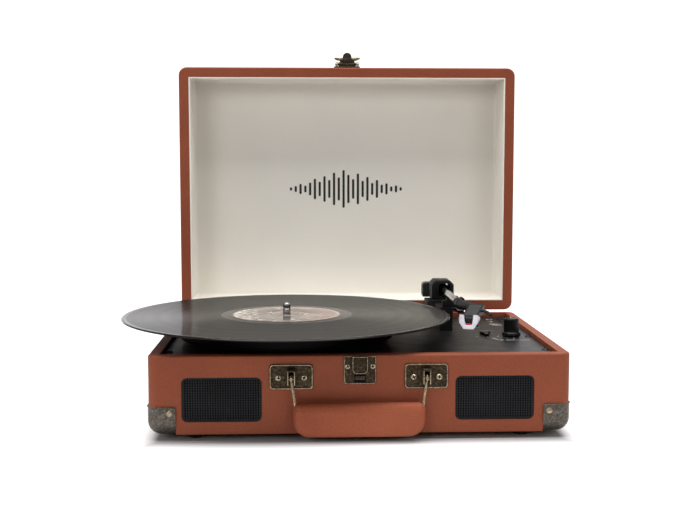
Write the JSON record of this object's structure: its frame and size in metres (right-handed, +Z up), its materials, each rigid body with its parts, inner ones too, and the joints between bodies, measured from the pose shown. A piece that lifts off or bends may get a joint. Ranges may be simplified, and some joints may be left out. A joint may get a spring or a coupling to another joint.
{
  "type": "suitcase record player",
  "caption": "Portable suitcase turntable in tan leatherette with open cream-lined lid, belt-driven platter, record and tonearm, front speakers and carry handle.",
  "frame": {"origin": "centre of the case's footprint on the surface that its feet stand on", "axes": "+X to the player's right, +Y from the front of the case to its hinged back, +Z up"},
  "size_m": [0.3931, 0.3618, 0.3476],
  "materials": {
    "mdf": "raw fibreboard",
    "leatherette": "grained tan-brown leatherette, satin",
    "lining": "cream paper lining, matt",
    "black_plastic": "satin black moulding",
    "white_plastic": "translucent white moulding",
    "red_plastic": "glossy red",
    "paper_cone": "black paper",
    "plated_steel": "zinc plated",
    "polished_steel": "polished",
    "dark_screw": "blackened",
    "antique_metal": "antique brass, dark with rubbed edges",
    "rubber": "matt black",
    "brass": "machined",
    "circuit_board": "green solder mask",
    "vinyl": "grooved glossy vinyl",
    "label_paper": "printed paper label"
  },
  "bodies": {
    "root": {"base_shell": "mdf", "base_wrap": "leatherette", "bottom_board": "mdf", "rubber_feet": "rubber", "deck_battens": "mdf", "deck_plate": "black_plastic", "deck_screws": "dark_screw", "base_corner_guards": "antique_metal", "base_corner_nails": "antique_metal", "speaker_grilles": "black_plastic", "speaker_frames": "plated_steel", "speaker_cones": "paper_cone", "handle_brackets": "antique_metal", "latch_plate": "antique_metal", "base_hinge_leaves": "antique_metal", "hinge_pins": "plated_steel", "base_hardware_screws": "antique_metal", "bearing_bush": "brass", "motor": "plated_steel", "drive_belt": "rubber", "volume_pot": "plated_steel", "audio_jacks": "black_plastic", "main_board": "circuit_board", "rear_jack_plate": "black_plastic", "rca_sockets": "plated_steel", "dc_socket": "black_plastic", "tonearm_base": "black_plastic", "arm_rest": "black_plastic"},
    "lid": {"lid_shell": "mdf", "lid_wrap": "leatherette", "lid_liner": "lining", "lid_corner_guards": "antique_metal", "lid_corner_nails": "antique_metal", "lid_hinge_leaves": "antique_metal", "lid_hardware_screws": "antique_metal", "hasp_plate": "antique_metal"},
    "hasp_body": {"hasp": "antique_metal"},
    "handle": {"handle_wires": "antique_metal", "handle_grip": "leatherette"},
    "latch": {"latch_lever": "antique_metal"},
    "platter_body": {"platter": "black_plastic", "platter_mat": "rubber", "spindle": "polished_steel"},
    "record_body": {"record": "vinyl", "record_labels": "label_paper"},
    "pulley": {"motor_pulley": "white_plastic"},
    "knob": {"volume_knob": "black_plastic"},
    "speed": {"speed_lever": "black_plastic"},
    "autostop": {"autostop_lever": "black_plastic"},
    "yoke": {"tonearm_yoke": "black_plastic"},
    "arm": {"tonearm_tube": "polished_steel", "counterweight": "black_plastic", "arm_neck": "black_plastic", "headshell": "black_plastic", "cartridge": "black_plastic", "stylus": "red_plastic"},
    "guard": {"stylus_guard": "white_plastic"},
    "clip": {"arm_clip": "black_plastic"},
    "cue": {"cue_lever": "black_plastic"},
    "cue_lift": {"cue_bar": "black_plastic"}
  },
  "joints": [
    {"name": "platter_spin", "type": "hinge", "parent": "root", "child": "platter_body", "pos_m": [-0.063, -0.022, 0.07], "axis": [0, 0, 1], "continuous": true},
    {"name": "pulley_spin", "type": "hinge", "parent": "root", "child": "pulley", "pos_m": [-0.1273, 0.032, 0.07], "axis": [0, 0, 1], "continuous": true},
    {"name": "record_lift", "type": "slide", "parent": "platter_body", "child": "record_body", "axis": [0, 0, -1], "range_m": [-0.045, 0]},
    {"name": "volume_turn", "type": "hinge", "parent": "root", "child": "knob", "pos_m": [0.149, -0.0115, 0.07], "axis": [0, 0, 1], "range_deg": [-280, 0]},
    {"name": "speed_select", "type": "hinge", "parent": "root", "child": "speed", "pos_m": [0.126, 0.001, 0.068], "axis": [0, 0, 1], "range_deg": [-35, 35]},
    {"name": "autostop_slide", "type": "slide", "parent": "root", "child": "autostop", "axis": [0, 1, 0], "range_m": [0, 0.0045]},
    {"name": "arm_swing", "type": "hinge", "parent": "root", "child": "yoke", "pos_m": [0.097, 0.092, 0.1], "axis": [0, 0, -1], "range_deg": [0, 37]},
    {"name": "arm_lift", "type": "hinge", "parent": "yoke", "child": "arm", "pos_m": [0.097, 0.092, 0.1015], "axis": [-1, 0, 0], "range_deg": [0, 14]},
    {"name": "guard_pull", "type": "slide", "parent": "arm", "child": "guard", "axis": [-0.309, -0.9511, 0], "range_m": [0, 0.03]},
    {"name": "clip_turn", "type": "hinge", "parent": "root", "child": "clip", "pos_m": [0.1076, 0.031, 0.0979], "axis": [0, -1, 0], "range_deg": [0, 176]},
    {"name": "cue_turn", "type": "hinge", "parent": "root", "child": "cue", "pos_m": [0.1056, 0.066, 0.084], "axis": [-1, 0, 0], "range_deg": [0, 45]},
    {"name": "cue_rise", "type": "slide", "parent": "root", "child": "cue_lift", "axis": [0, 0, 1], "range_m": [0, 0.004]},
    {"name": "lid_hinge", "type": "hinge", "parent": "root", "child": "lid", "pos_m": [0, 0.1313, 0.0714], "axis": [1, 0, 0], "range_deg": [0, 49]},
    {"name": "hasp_swing", "type": "hinge", "parent": "lid", "child": "hasp_body", "pos_m": [-0.0006, 0.137, 0.3354], "axis": [1, 0, 0], "range_deg": [-30, 88]},
    {"name": "handle_swing", "type": "hinge", "parent": "root", "child": "handle", "pos_m": [-0.0015, -0.1336, 0.053], "axis": [-1, 0, 0], "range_deg": [0, 105]},
    {"name": "latch_slide", "type": "slide", "parent": "root", "child": "latch", "axis": [0, 0, -1], "range_m": [0, 0.002], "stiffness_N_per_m": 300}
  ],
  "couplings": [
    {"joint": "pulley_spin", "follows": "platter_spin", "ratio": 21.25},
    {"joint": "cue_rise", "follows": "cue_turn", "m_per_rad": 0.005}
  ]
}
